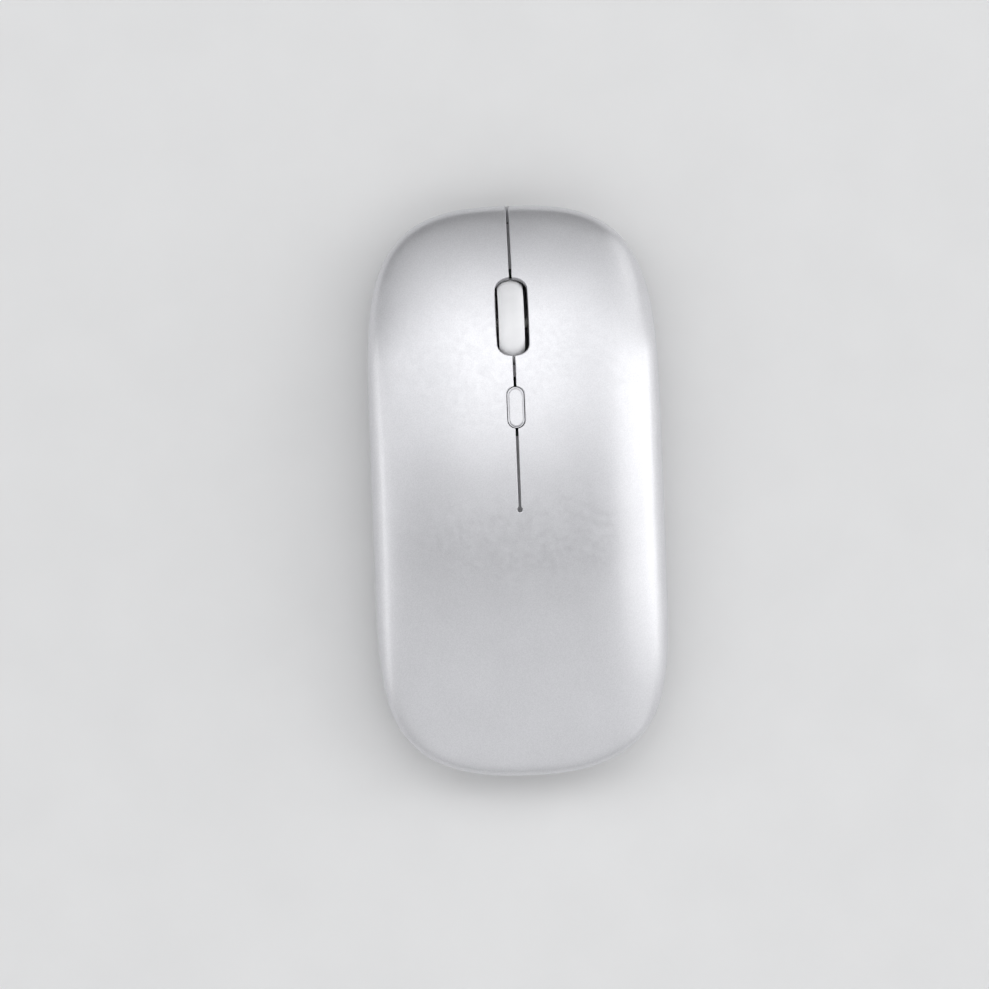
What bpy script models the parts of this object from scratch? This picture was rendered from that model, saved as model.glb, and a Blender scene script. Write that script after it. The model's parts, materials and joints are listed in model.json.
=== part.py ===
"""Slim wireless computer mouse, built as its real assembly of separate pieces.

Row frame: metres, +Z up, the origin on the desk under the middle of the mouse. +Y points to the front
(the buttons), +X to the user's right. Each object is one piece; empties carry the pieces that move.
"""

import math

import bmesh
import bpy
import numpy as np
from mathutils import Matrix

MM = 0.001


def mm(*values):
    """Millimetres as metres."""
    return tuple(value * MM for value in values)


# Driving dimensions of the body.
LENGTH = 112 * MM
WIDTH = 57.4 * MM
HEIGHT = 24 * MM
WALL = 1.6 * MM
FOOT_DROP = 0.7 * MM  # how far the feet hold the case above the desk

# Outline seen from above: |x / half width| ** side + |y / half length| ** end = 1.
FRONT_SIDE, FRONT_END = 2.8, 5.25
REAR_SIDE, REAR_END = 2.45, 6.2
BLEND_LENGTH = 60 * MM

# Height along the centre line: an arch with its crest a little behind the middle.
CREST_Y = -6 * MM
FRONT_DROP = 9.5 * MM  # the arch's fall from the crest to the nose
REAR_DROP = 8.6 * MM
CROWN = 3.0  # 1/m: the top falls by this times the distance from the middle line squared,
SHOULDER = 6000.0  # 1/m**3: and by this times its fourth power
REAR_ROLL, FRONT_ROLL = 0.10, 0.38  # how the top rolls over to its edge: 0.5 is an ellipse, and less is squarer
ROLL_START = 25 * MM  # from here to the nose the one turns into the other

# Parting line between the covers and the case.
CASE_RIM = 8.2 * MM
COVER_RIM = 8.5 * MM

# Buttons.
HINGE_Y = -3.7 * MM  # the slit ends here, and the two buttons bend here
HINGE_Z = 15 * MM
HINGE_GAP = 0.4 * MM
PRESS_DEGREES = 0.7
SLIT_HALF = 0.25 * MM
RELIEF_RADIUS = 0.55 * MM

# Scroll wheel and its slot in the covers.
WHEEL_Y = 32.7 * MM
WHEEL_Z = 13.4 * MM
WHEEL_RADIUS = 9 * MM
WHEEL_HALF = 2.5 * MM
WHEEL_SLOT_Y = 34 * MM
WHEEL_SLOT_HALF = 3.15 * MM
WHEEL_SLOT_LONG = 7.7 * MM
WHEEL_SLOT_END = 2.5 * MM
AXLE_RADIUS = 1.0 * MM
TILT_X = -7.9 * MM  # the wheel tilts about the encoder when it is clicked
SADDLE_X = 7.0 * MM

# Resolution button behind the wheel.
DPI_Y = 16.2 * MM
DPI_HALF = 1.33 * MM
DPI_LONG = 3.72 * MM
DPI_END = 1.25 * MM
DPI_GAP = 0.4 * MM

# Circuit board.
BOARD_LOW, BOARD_HIGH = 6.6 * MM, 7.8 * MM
SEAT = 0.05 * MM  # solder gap under each component
BOARD_HALF = 22 * MM
BOARD_REAR = -7.6 * MM
BOARD_FRONT = 41 * MM
SWITCH_X, SWITCH_Y = 15 * MM, 36 * MM
SWITCH_PLUNGER_Y = SWITCH_Y + 1.5 * MM
SWITCH_TOP = BOARD_HIGH + 5.2 * MM
PLUNGER_TOP = SWITCH_TOP + 0.6 * MM
TOUCH = 0.1 * MM  # slack between an actuator and what it presses

# Underside.
FLOOR_TOP = 2.3 * MM
SENSOR_Y = 4 * MM
POWER_X, POWER_Y = -14 * MM, 4 * MM
POWER_TRAVEL = 2 * MM
BAY_Y, BAY_HALF, BAY_LONG = -24.6 * MM, 8 * MM, 10.2 * MM
BAY_ROOF = 7.4 * MM
FRONT_SCREW = mm(11.5, 45.2)
REAR_SCREW = mm(11.5, -45.1)
BOARD_SCREW = mm(19, 24)
FRAME_POST_Y = -10.5 * MM
PORT_Z = 4.9 * MM
PORT_MOUTH = 54.4 * MM

SEGMENTS = 60
ROUND_STEPS = 20

COLOURS = {  # name: (base colour, metallic, roughness)
    "silver_paint": ((0.66, 0.66, 0.68), 0.55, 0.38),
    "case_plastic": ((0.56, 0.56, 0.58), 0.0, 0.5),
    "frame_plastic": ((0.40, 0.40, 0.42), 0.0, 0.6),
    "wheel_silver": ((0.80, 0.80, 0.82), 0.1, 0.4),
    "black_plastic": ((0.03, 0.03, 0.03), 0.0, 0.5),
    "white_plastic": ((0.82, 0.82, 0.80), 0.0, 0.5),
    "slick_black": ((0.02, 0.02, 0.02), 0.0, 0.35),
    "board_green": ((0.03, 0.16, 0.07), 0.0, 0.5),
    "steel": ((0.62, 0.62, 0.62), 1.0, 0.3),
    "clear_lens": ((0.85, 0.88, 0.90), 0.0, 0.1),
    "foil": ((0.70, 0.71, 0.72), 0.3, 0.45),
    "foam": ((0.06, 0.06, 0.07), 0.0, 0.9),
    "red_wire": ((0.55, 0.03, 0.03), 0.0, 0.5),
}


# ---------------------------------------------------------------- the body's surface


def exponents(y):
    """The outline's (side, end) exponents at y. The side's one turns smoothly from rear to front."""
    share = min(1.0, max(0.0, 0.5 + y / BLEND_LENGTH))
    share = share * share * (3 - 2 * share)
    return REAR_SIDE + (FRONT_SIDE - REAR_SIDE) * share, FRONT_END if y >= 0 else REAR_END


def outline_point(angle, inset=0.0):
    """A point of the outline, moved inwards by inset; angle is a parameter from +X towards +Y."""
    end = exponents(math.sin(angle))[1]
    y = math.copysign((LENGTH / 2 - inset) * abs(math.sin(angle)) ** (2 / end), math.sin(angle))
    x = (WIDTH / 2 - inset) * abs(math.cos(angle)) ** (2 / exponents(y)[0])
    return math.copysign(x, math.cos(angle)), y


def even_angles():
    """Outline parameters that step evenly along the outline, quarter by quarter."""
    chosen = []
    for quarter in range(4):
        fine = np.linspace(quarter, quarter + 1, 241) * math.pi / 2
        points = np.array([outline_point(angle) for angle in fine])
        walked = np.append(0, np.cumsum(np.linalg.norm(np.diff(points, axis=0), axis=1)))
        steps = np.linspace(0, walked[-1], SEGMENTS // 4, endpoint=False)
        chosen += np.interp(steps, walked, fine).tolist()
    return chosen


def arch(y):
    """Height of the covers along the centre line, before the ends roll over."""
    reach = LENGTH / 2 - CREST_Y if y > CREST_Y else LENGTH / 2 + CREST_Y
    drop = FRONT_DROP if y > CREST_Y else REAR_DROP
    return HEIGHT - drop * ((y - CREST_Y) / reach) ** 2


def cover_edge(y):
    """Height of the covers' lower edge. It rises from the hinge to the nose, to leave room for the press."""
    return COVER_RIM + math.tan(math.radians(PRESS_DEGREES)) * max(0.0, y - HINGE_Y)


def cover_height(x, y, depth=0.0):
    """Height of the covers' outer surface at (x, y), or of the surface this deep inside it."""
    side, end = exponents(y)
    spread = abs(x / (WIDTH / 2 - depth)) ** side + abs(y / (LENGTH / 2 - depth)) ** end
    share = min(1.0, max(0.0, (y - ROLL_START) / (LENGTH / 2 - ROLL_START)))
    roll = REAR_ROLL + (FRONT_ROLL - REAR_ROLL) * share * share * (3 - 2 * share)
    crown = arch(y) - CROWN * x**2 - SHOULDER * x**4
    edge = cover_edge(y)
    return edge + (crown - depth - edge) * max(0.0, 1 - spread) ** roll


# ---------------------------------------------------------------- building tools


def collection(name):
    made = bpy.data.collections.new(name)
    bpy.context.scene.collection.children.link(made)
    return made


def clear_scene():
    for old in list(bpy.data.objects):
        bpy.data.objects.remove(old)


clear_scene()
RING_ANGLES = even_angles()
PARTS = collection("computer_mouse")
CUTTERS = collection("cutters")


def material(name):
    """The Principled material of that name, made on first use."""
    found = bpy.data.materials.get(name)
    if found:
        return found
    colour, metallic, roughness = COLOURS[name]
    made = bpy.data.materials.new(name)
    made.use_nodes = True
    shader = made.node_tree.nodes["Principled BSDF"]
    shader.inputs["Base Color"].default_value = (*colour, 1)
    shader.inputs["Metallic"].default_value = metallic
    shader.inputs["Roughness"].default_value = roughness
    return made


def as_object(name, mesh, finish=None):
    """An object from a mesh: a part if it has a finish, and a hidden cutter if it has none."""
    made = bpy.data.objects.new(name, mesh)
    if finish:
        PARTS.objects.link(made)
        mesh.materials.append(material(finish))
        mesh.shade_smooth()
        mesh.set_sharp_from_angle(angle=math.radians(35))
    else:
        CUTTERS.objects.link(made)
        made.hide_render = True
        made.display_type = "WIRE"
    return made


def from_bmesh(name, shape, finish=None):
    bmesh.ops.recalc_face_normals(shape, faces=shape.faces)
    mesh = bpy.data.meshes.new(name)
    shape.to_mesh(mesh)
    shape.free()
    return as_object(name, mesh, finish)


def block(name, low, high, finish=None, bevel=0.0):
    """A box between two corners, with its edges rounded by bevel."""
    shape = bmesh.new()
    bmesh.ops.create_cube(shape, size=1)
    for vertex in shape.verts:
        vertex.co = [a if c < 0 else b for a, b, c in zip(low, high, vertex.co)]
    made = from_bmesh(name, shape, finish)
    if bevel:
        rounding = made.modifiers.new("edges", "BEVEL")
        rounding.width = bevel
        rounding.segments = 2
    return made


AXES = {"X": Matrix.Rotation(math.pi / 2, 4, "Y"), "Y": Matrix.Rotation(-math.pi / 2, 4, "X"), "Z": Matrix()}


def cylinder(name, radius, low, high, centre, axis="Z", finish=None, steps=ROUND_STEPS, top_radius=None):
    """A round bar from low to high along axis; centre holds its two other coordinates, in X, Y, Z order."""
    shape = bmesh.new()
    bmesh.ops.create_cone(
        shape,
        cap_ends=True,
        segments=steps,
        radius1=radius,
        radius2=radius if top_radius is None else top_radius,
        depth=high - low,
    )
    place = list(centre)
    place.insert("XYZ".index(axis), (low + high) / 2)
    shape.transform(Matrix.Translation(place) @ AXES[axis])
    return from_bmesh(name, shape, finish)


def mesh_of_curve(drawn, finish=None):
    """Replaces a curve object with a welded mesh object of the same name and place."""
    bpy.context.view_layer.update()
    graph = bpy.context.evaluated_depsgraph_get()
    mesh = bpy.data.meshes.new_from_object(drawn.evaluated_get(graph))
    mesh.materials.clear()
    mesh.transform(drawn.matrix_world)
    name = drawn.name
    bpy.data.objects.remove(drawn)
    shape = bmesh.new()
    shape.from_mesh(mesh)
    bmesh.ops.remove_doubles(shape, verts=shape.verts, dist=1e-6)
    return from_bmesh(name, shape, finish)


ALONG = {
    "Z": Matrix(),
    "X": Matrix(((0, 0, 1, 0), (1, 0, 0, 0), (0, 1, 0, 0), (0, 0, 0, 1))),
    "Y": Matrix(((-1, 0, 0, 0), (0, 0, 1, 0), (0, 1, 0, 0), (0, 0, 0, 1))),
}


def prism(name, outline, low, high, finish=None, axis="Z"):
    """A flat outline pushed from low to high along axis. Along X the outline is in (y, z)."""
    curve = bpy.data.curves.new(name, "CURVE")
    curve.dimensions = "2D"
    curve.fill_mode = "BOTH"
    curve.extrude = (high - low) / 2
    spline = curve.splines.new("POLY")
    spline.points.add(len(outline) - 1)
    for point, (u, v) in zip(spline.points, outline):
        point.co = (u, v, 0, 1)
    spline.use_cyclic_u = True
    drawn = bpy.data.objects.new(name, curve)
    CUTTERS.objects.link(drawn)
    drawn.matrix_world = ALONG[axis] @ Matrix.Translation((0, 0, (low + high) / 2))
    return mesh_of_curve(drawn, finish)


def slot_outline(half_width, half_length, end, centre=(0.0, 0.0), steps=7):
    """A slot along Y whose ends are half ellipses, each `end` long."""
    points = []
    for sign in (1, -1):
        for step in range(steps + 1):
            angle = math.pi * step / steps
            points.append(
                (
                    centre[0] + sign * half_width * math.cos(angle),
                    centre[1] + sign * (half_length - end + end * math.sin(angle)),
                )
            )
    return points


def ring_stack(name, rings, finish=None):
    """A closed solid from rings of equal length, each joined to the next, with a fan at both ends."""
    shape = bmesh.new()
    loops = [[shape.verts.new(point) for point in ring] for ring in rings]
    for lower, upper in zip(loops, loops[1:]):
        for i in range(len(lower)):
            j = (i + 1) % len(lower)
            shape.faces.new((lower[i], lower[j], upper[j], upper[i]))
    for loop, order in ((loops[0], -1), (loops[-1], 1)):
        middle = sum((vertex.co for vertex in loop[1:]), loop[0].co.copy()) / len(loop)
        hub = shape.verts.new(middle)
        for i in range(len(loop)):
            j = (i + 1) % len(loop)
            shape.faces.new((loop[i], loop[j], hub)[::order])
    return from_bmesh(name, shape, finish)


def boolean(target, operation, tools):
    for tool in tools:
        change = target.modifiers.new(tool.name, "BOOLEAN")
        change.operation = operation
        change.object = tool
        change.solver = "EXACT"
    return target


def cut(target, *tools):
    return boolean(target, "DIFFERENCE", tools)


def join(target, *tools):
    return boolean(target, "UNION", tools)


def keep(target, *tools):
    return boolean(target, "INTERSECT", tools)


def on_joint(name, place, *pieces):
    """An empty on a joint's axis that carries the pieces that move with the joint."""
    empty = bpy.data.objects.new(name, None)
    PARTS.objects.link(empty)
    empty.location = place
    for piece in pieces:
        piece.parent = empty
        piece.matrix_parent_inverse = Matrix.Translation(place).inverted()
    return empty


def tube_along(name, points, radius, finish):
    """A wire through the points, with round ends closed flat."""
    curve = bpy.data.curves.new(name, "CURVE")
    curve.dimensions = "3D"
    curve.bevel_depth = radius
    curve.bevel_resolution = 2
    curve.use_fill_caps = True
    spline = curve.splines.new("POLY")
    spline.points.add(len(points) - 1)
    for point, place in zip(spline.points, points):
        point.co = (*place, 1)
    made = bpy.data.objects.new(name, curve)
    PARTS.objects.link(made)
    curve.materials.append(material(finish))
    return made


# ---------------------------------------------------------------- covers and buttons

SCALES = (0.05, 0.28, 0.5, 0.69, 0.83, 0.92, 0.97, 0.993)


def cover_rings(depth, scales):
    """Rings over the covers' surface this deep inside it, each the outline shrunk towards the crest."""
    rings = []
    for scale in scales:
        ring = []
        for angle in RING_ANGLES:
            x, y = outline_point(angle, depth)
            x, y = scale * x, CREST_Y + scale * (y - CREST_Y)
            ring.append((x, y, cover_edge(y) if scale == 1 else cover_height(x, y, depth)))
        rings.append(ring)
    return rings


def cover_blank(name, finish=None):
    """The whole domed top as one closed shell, open underneath."""
    return ring_stack(name, cover_rings(0, (*SCALES, 1)) + cover_rings(WALL, (1, *SCALES[::-1])), finish)


def under_cover(name, tool):
    """The tool with its top trimmed to the middle of the cover's wall, ready to be joined to the cover."""
    core = ring_stack(f"{name}_core", cover_rings(WALL / 2, (*SCALES, 1)))
    return keep(tool, core)


def case_outline_rings(profile):
    """Rings of the outline at each (inset, height) of a profile."""
    return [
        [(*outline_point(angle, inset), height) for angle in RING_ANGLES]
        for inset, height in profile
    ]


def palm_cover():
    far = LENGTH
    made = cover_blank("palm_cover", "silver_paint")
    front = block("palm_front_cut", (-far, HINGE_Y - HINGE_GAP / 2, -far), (far, far, far))
    relief = cylinder("relief_hole", RELIEF_RADIUS, 0, 2 * HEIGHT, (0, HINGE_Y))
    cut(made, front, relief)
    for side, label in ((-1, "left"), (1, "right")):
        x, y = side * REAR_SCREW[0], REAR_SCREW[1]
        boss = cylinder(f"palm_boss_{label}", 2.3 * MM, 5.3 * MM, HEIGHT, (x, y))
        join(made, under_cover(f"palm_boss_{label}", boss))
        cut(made, cylinder(f"palm_pilot_{label}", 1.05 * MM, 5 * MM, 11 * MM, (x, y)))
    return made


def main_button(side, label):
    """One half of the covers in front of the hinge line, with the rib that presses its switch."""
    far = LENGTH
    made = cover_blank(f"{label}_button", "silver_paint")
    rear = block(f"{label}_rear_cut", (-far, -far, -far), (far, HINGE_Y + HINGE_GAP / 2, far))
    edges = sorted((-side * far, side * SLIT_HALF))
    middle = block(f"{label}_middle_cut", (edges[0], -far, -far), (edges[1], far, far))
    openings = ("relief_hole", "wheel_slot", "wheel_room", "dpi_slot")
    cut(made, rear, middle, *(bpy.data.objects[opening] for opening in openings))

    x = side * SWITCH_X
    rib = block(
        f"{label}_rib",
        (x - 1.5 * MM, SWITCH_PLUNGER_Y - 1 * MM, PLUNGER_TOP + TOUCH),
        (x + 1.5 * MM, SWITCH_PLUNGER_Y + 1 * MM, HEIGHT),
    )
    return join(made, under_cover(f"{label}_rib", rib))


def covers():
    prism(
        "wheel_slot",
        slot_outline(WHEEL_SLOT_HALF, WHEEL_SLOT_LONG, WHEEL_SLOT_END, (0, WHEEL_SLOT_Y)),
        WHEEL_Z,
        2 * HEIGHT,
    )
    prism(
        "dpi_slot",
        slot_outline(DPI_HALF + DPI_GAP, DPI_LONG + DPI_GAP, DPI_END + DPI_GAP, (0, DPI_Y)),
        WHEEL_Z,
        2 * HEIGHT,
    )
    turned("wheel_room", tyre_profile(0.5 * MM), (0, WHEEL_Y, WHEEL_Z), 40)
    palm_cover()
    for side, label in ((-1, "left"), (1, "right")):
        button = main_button(side, label)
        on_joint(f"{label}_button_hinge", (side * WIDTH / 4, HINGE_Y, HINGE_Z), button)


def inner_frame():
    """The spine under the slit. It guides the resolution button and stands on the case by three legs."""
    rear, front = -8 * MM, 52.4 * MM
    steps = 18
    slope = math.tan(math.radians(PRESS_DEGREES))
    top = []
    for step in range(steps + 1):
        y = rear + (front - rear) * step / steps
        room = 0.35 * MM + slope * max(0, y - HINGE_Y)
        top.append((y, cover_height(0, y, WALL) - room))
    thick = 1.4 * MM
    outline = top + [(y, z - thick) for y, z in reversed(top)]
    half = 5 * MM
    made = prism("inner_frame", outline, -half, half, "frame_plastic", axis="X")

    arm = block("frame_arm", mm(-13.4, 43.9, 10.4), mm(13.4, 46.9, 12.0))
    riser = block("frame_riser", mm(-4.4, 43.9, 10.6), mm(4.4, 46.9, 12.6))
    post_top = cover_height(0, FRAME_POST_Y, WALL) - 1.2 * MM
    heel = block(
        "frame_heel",
        (-3 * MM, FRAME_POST_Y - 1.6 * MM, post_top - 1.2 * MM),
        (3 * MM, rear + 2 * MM, post_top),
    )
    post = cylinder("frame_post", 1.6 * MM, 8.3 * MM, post_top - 0.5 * MM, (0, FRAME_POST_Y))
    join(made, riser, arm, heel, post)
    for side, label in ((-1, "left"), (1, "right")):
        place = (side * FRONT_SCREW[0], FRONT_SCREW[1])
        join(made, cylinder(f"frame_leg_{label}", 2.2 * MM, 6.8 * MM, 11.7 * MM, place))
        cut(made, cylinder(f"frame_pilot_{label}", 1.05 * MM, 6 * MM, 10.6 * MM, place))

    wheel_window = prism(
        "frame_wheel_window",
        slot_outline(3.7 * MM, 9.5 * MM, 2 * MM, (0, WHEEL_SLOT_Y)),
        9 * MM,
        HEIGHT,
    )
    dpi_window = block("frame_dpi_window", mm(-2.6, 10.6, 12), mm(2.6, 22.2, 24))
    return cut(made, wheel_window, dpi_window)


def dpi_button():
    """The small pill button: its cap lies flush in the covers, and a stem reaches its switch."""
    flange_top = cover_height(0, DPI_Y + 5 * MM, WALL) - 0.45 * MM  # clear of a pressed button
    flange_low = flange_top - 0.8 * MM
    cap = prism(
        "dpi_button",
        slot_outline(DPI_HALF, DPI_LONG, DPI_END, (0, DPI_Y)),
        flange_low,
        HEIGHT,
        "silver_paint",
    )
    # The cap's top follows the covers' surface.
    keep(cap, ring_stack("dpi_skin", cover_rings(0, (*SCALES, 1))))
    flange = block(
        "dpi_flange",
        (-2.2 * MM, DPI_Y - 5 * MM, flange_low - 0.1 * MM),
        (2.2 * MM, DPI_Y + 5 * MM, flange_top),
    )
    stem = block(
        "dpi_stem",
        (-1 * MM, DPI_Y - 1.5 * MM, BOARD_HIGH + 5.0 * MM + TOUCH),
        (1 * MM, DPI_Y + 1.5 * MM, flange_low + 0.3 * MM),
    )
    join(cap, flange, stem)
    on_joint("dpi_press", (0, DPI_Y, flange_low), cap)


# ---------------------------------------------------------------- case and feet


def case_profile():
    """(inset, height) from the case's bottom, up its outside, over the rim and lip, and down its inside."""
    low, tuck = FOOT_DROP, 5.4 * MM
    outside = []
    for step in range(7):
        angle = math.radians(90 - 15 * step)
        outside.append(
            (0.1 * MM + tuck * (1 - math.cos(angle)), CASE_RIM - (CASE_RIM - low) * math.sin(angle))
        )
    lip = [mm(2.3, 8.2), mm(2.3, 9.1), mm(3.2, 9.1)]
    inside = [mm(3.2, 4.2), mm(3.6, 3.1), mm(4.5, 2.3)]
    return outside + lip + inside


def base_shell():
    made = ring_stack("base_shell", case_outline_rings(case_profile()), "case_plastic")
    deep = FLOOR_TOP - 0.6 * MM  # where each post starts, inside the floor
    under = -1 * MM

    posts = [
        block("bay_walls", (-9.2 * MM, BAY_Y - 11.4 * MM, deep), (9.2 * MM, BAY_Y + 11.4 * MM, 8.9 * MM)),
        cylinder("frame_seat", 2.2 * MM, deep, 8 * MM, (0, FRAME_POST_Y)),
    ]
    holes = [
        block("bay", (-BAY_HALF, BAY_Y - BAY_LONG, under), (BAY_HALF, BAY_Y + BAY_LONG, BAY_ROOF)),
        prism("bay_finger_notch", slot_outline(3 * MM, 3.2 * MM, 3 * MM, (0, BAY_Y - BAY_LONG)), under, 1.7 * MM),
        prism("sensor_hole", slot_outline(3.4 * MM, 4.6 * MM, 3.4 * MM, (0, SENSOR_Y)), under, 4 * MM),
        prism("power_slot", slot_outline(1.8 * MM, 3.9 * MM, 1.8 * MM, (POWER_X, POWER_Y)), under, 4 * MM),
        prism("power_recess", slot_outline(3.2 * MM, 5.8 * MM, 3.2 * MM, (POWER_X, POWER_Y)), under, 1.2 * MM),
        prism(
            "port_hole",
            [(z, x) for x, z in slot_outline(1.95 * MM, 4.85 * MM, 1.95 * MM)],
            BOARD_FRONT + 6 * MM,
            LENGTH,
            axis="Y",
        ),
    ]
    holes[-1].data.transform(Matrix.Translation((0, 0, PORT_Z)))
    for side, label in ((-1, "left"), (1, "right")):
        front = (side * FRONT_SCREW[0], FRONT_SCREW[1])
        rear = (side * REAR_SCREW[0], REAR_SCREW[1])
        board = (side * BOARD_SCREW[0], BOARD_SCREW[1])
        corner = (side * 19 * MM, -4 * MM)
        for spot, place, top in (("front", front, 6.5 * MM), ("rear", rear, 5.0 * MM)):
            posts.append(cylinder(f"{spot}_boss_{label}", 2.8 * MM, deep, top, place))
            holes.append(cylinder(f"{spot}_sink_{label}", 2.15 * MM, under, 2.9 * MM, place))
            holes.append(cylinder(f"{spot}_hole_{label}", 1.2 * MM, under, 8 * MM, place))
        posts.append(cylinder(f"board_post_{label}", 2.1 * MM, deep, BOARD_LOW - 0.1 * MM, board))
        holes.append(cylinder(f"board_pilot_{label}", 1.05 * MM, 3.2 * MM, 8 * MM, board))
        posts.append(cylinder(f"corner_post_{label}", 2.1 * MM, deep, BOARD_LOW - 0.1 * MM, corner))
    for offset, label in ((-3, "rear"), (3, "front")):
        posts.append(
            block(
                f"axle_fin_{label}",
                (5.6 * MM, WHEEL_Y + (offset - 0.6) * MM, deep),
                (8.4 * MM, WHEEL_Y + (offset + 0.6) * MM, WHEEL_Z + 0.8 * MM),
            )
        )
    for where, inset in (("front", 1), ("rear", -1)):
        holes.append(foot(f"{where}_foot_recess", inset, 6.8 * MM, 10.6 * MM, 44, under, 1.0 * MM))
    join(made, *posts)
    return cut(made, *holes)


def foot(name, end, outer, inner, start, low, high, finish=None):
    """A crescent that follows the case's end; end is 1 at the front and -1 at the rear."""
    steps = 12
    angles = [math.radians(start + (180 - 2 * start) * step / steps) * end for step in range(steps + 1)]
    outline = [outline_point(angle, outer) for angle in angles]
    outline += [outline_point(angle, inner) for angle in reversed(angles)]
    return prism(name, outline, low, high, finish)


def feet():
    for label, end in (("front_foot", 1), ("rear_foot", -1)):
        foot(label, end, 7.0 * MM, 10.4 * MM, 44.6, 0, 0.95 * MM, "slick_black")


def screw(name, x, y, head_low, up, length, head_radius=1.9 * MM):
    """A pan-head screw with a cross recess; up is 1 if it points up from its head."""
    thick = 1.2 * MM
    top = head_low + thick
    made = cylinder(name, head_radius, head_low, top, (x, y), finish="steel", steps=16)
    ends = (top - 0.2 * MM, top + length) if up > 0 else (head_low - length, head_low + 0.2 * MM)
    join(made, cylinder(f"{name}_shank", 0.95 * MM, *ends, (x, y), steps=12))
    recess_low, recess_high = (head_low - 1 * MM, head_low + 0.6 * MM) if up > 0 else (top - 0.6 * MM, top + 1 * MM)
    half_long, half_wide = 1.1 * MM, 0.22 * MM
    cut(
        made,
        block(f"{name}_cross_a", (x - half_long, y - half_wide, recess_low), (x + half_long, y + half_wide, recess_high)),
        block(f"{name}_cross_b", (x - half_wide, y - half_long, recess_low), (x + half_wide, y + half_long, recess_high)),
    )
    return made


def screws():
    for side, label in ((-1, "left"), (1, "right")):
        screw(f"front_screw_{label}", side * FRONT_SCREW[0], FRONT_SCREW[1], 1.6 * MM, 1, 7 * MM)
        screw(f"rear_screw_{label}", side * REAR_SCREW[0], REAR_SCREW[1], 1.6 * MM, 1, 7 * MM)
        screw(f"board_screw_{label}", side * BOARD_SCREW[0], BOARD_SCREW[1], BOARD_HIGH + SEAT, -1, 4 * MM)


# ---------------------------------------------------------------- scroll wheel


def tyre_profile(grow=0.0):
    """The crowned tyre as (x, radius), swollen by grow to make the room around it."""
    crown = []
    for step in range(7):
        share = 1 - 2 * step / 6
        radius = WHEEL_RADIUS + grow - 1.0 * MM * abs(share) ** 3.2
        crown.append(((WHEEL_HALF + grow) * share, radius))
    return [(WHEEL_HALF + grow, 7.8 * MM), *crown, (-WHEEL_HALF - grow, 7.8 * MM)]


def scroll_wheel():
    place = (WHEEL_Y, WHEEL_Z)
    hub = cylinder("wheel_hub", 7.7 * MM, -2.3 * MM, 2.3 * MM, place, "X", "white_plastic", steps=24)
    for side in (-1, 1):
        cut(hub, cylinder(f"wheel_dish_{side}", 6.4 * MM, *sorted(mm(side * 1.2, side * 4)), place, "X"))
    join(
        hub,
        cylinder("wheel_boss", 2.4 * MM, -2.3 * MM, 2.3 * MM, place, "X"),
        cylinder("wheel_axle", AXLE_RADIUS, 2 * MM, 8.3 * MM, place, "X", steps=12),
        cylinder("wheel_hex", 1.15 * MM, -10 * MM, -2 * MM, place, "X", steps=6),
    )
    tyre = turned("wheel_tyre", tyre_profile(), (0, *place), 40, "wheel_silver")
    saddle = block(
        "axle_saddle",
        (5.6 * MM, WHEEL_Y - 2.1 * MM, WHEEL_Z - 1.4 * MM),
        (8.3 * MM, WHEEL_Y + 2.1 * MM, WHEEL_Z + 1.5 * MM),
        "black_plastic",
    )
    cut(saddle, cylinder("saddle_hole", 1.08 * MM, 4 * MM, 10 * MM, place, "X"))
    tilt = on_joint("wheel_click", (TILT_X, *place), saddle)
    spin = on_joint("wheel_spin", (0, *place), hub, tyre)
    spin.parent = tilt
    spin.matrix_parent_inverse = Matrix.Translation(tilt.location).inverted()


def turned(name, profile, centre, steps, finish=None):
    """A closed (x, radius) profile turned about the X axis through centre, by a Screw modifier."""
    shape = bmesh.new()
    loop = [shape.verts.new((x, 0, radius)) for x, radius in profile]
    for i, vertex in enumerate(loop):
        shape.edges.new((vertex, loop[(i + 1) % len(loop)]))
    mesh = bpy.data.meshes.new(name)
    shape.to_mesh(mesh)
    shape.free()
    made = as_object(name, mesh, finish)
    spin = made.modifiers.new("turn", "SCREW")
    spin.axis = "X"
    spin.steps = spin.render_steps = steps
    spin.use_merge_vertices = True
    spin.merge_threshold = 1e-6
    spin.use_smooth_shade = True
    made.location = centre
    bpy.context.view_layer.update()
    return made


def encoder():
    body = block(
        "encoder_body",
        (-10.4 * MM, WHEEL_Y - 3.9 * MM, BOARD_HIGH + SEAT),
        (-5.4 * MM, WHEEL_Y + 3.9 * MM, WHEEL_Z + 2.85 * MM),
        "black_plastic",
        bevel=0.3 * MM,
    )
    cut(body, cylinder("encoder_bore", 2.5 * MM, -12 * MM, -4 * MM, (WHEEL_Y, WHEEL_Z), "X"))
    rotor = cylinder(
        "encoder_rotor", 2.4 * MM, -10.2 * MM, -5.6 * MM, (WHEEL_Y, WHEEL_Z), "X", "white_plastic"
    )
    cut(rotor, cylinder("rotor_hex", 1.27 * MM, -12 * MM, -4 * MM, (WHEEL_Y, WHEEL_Z), "X", steps=6))
    on_joint("encoder_spin", (TILT_X, WHEEL_Y, WHEEL_Z), rotor)


# ---------------------------------------------------------------- board and what is on it


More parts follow.
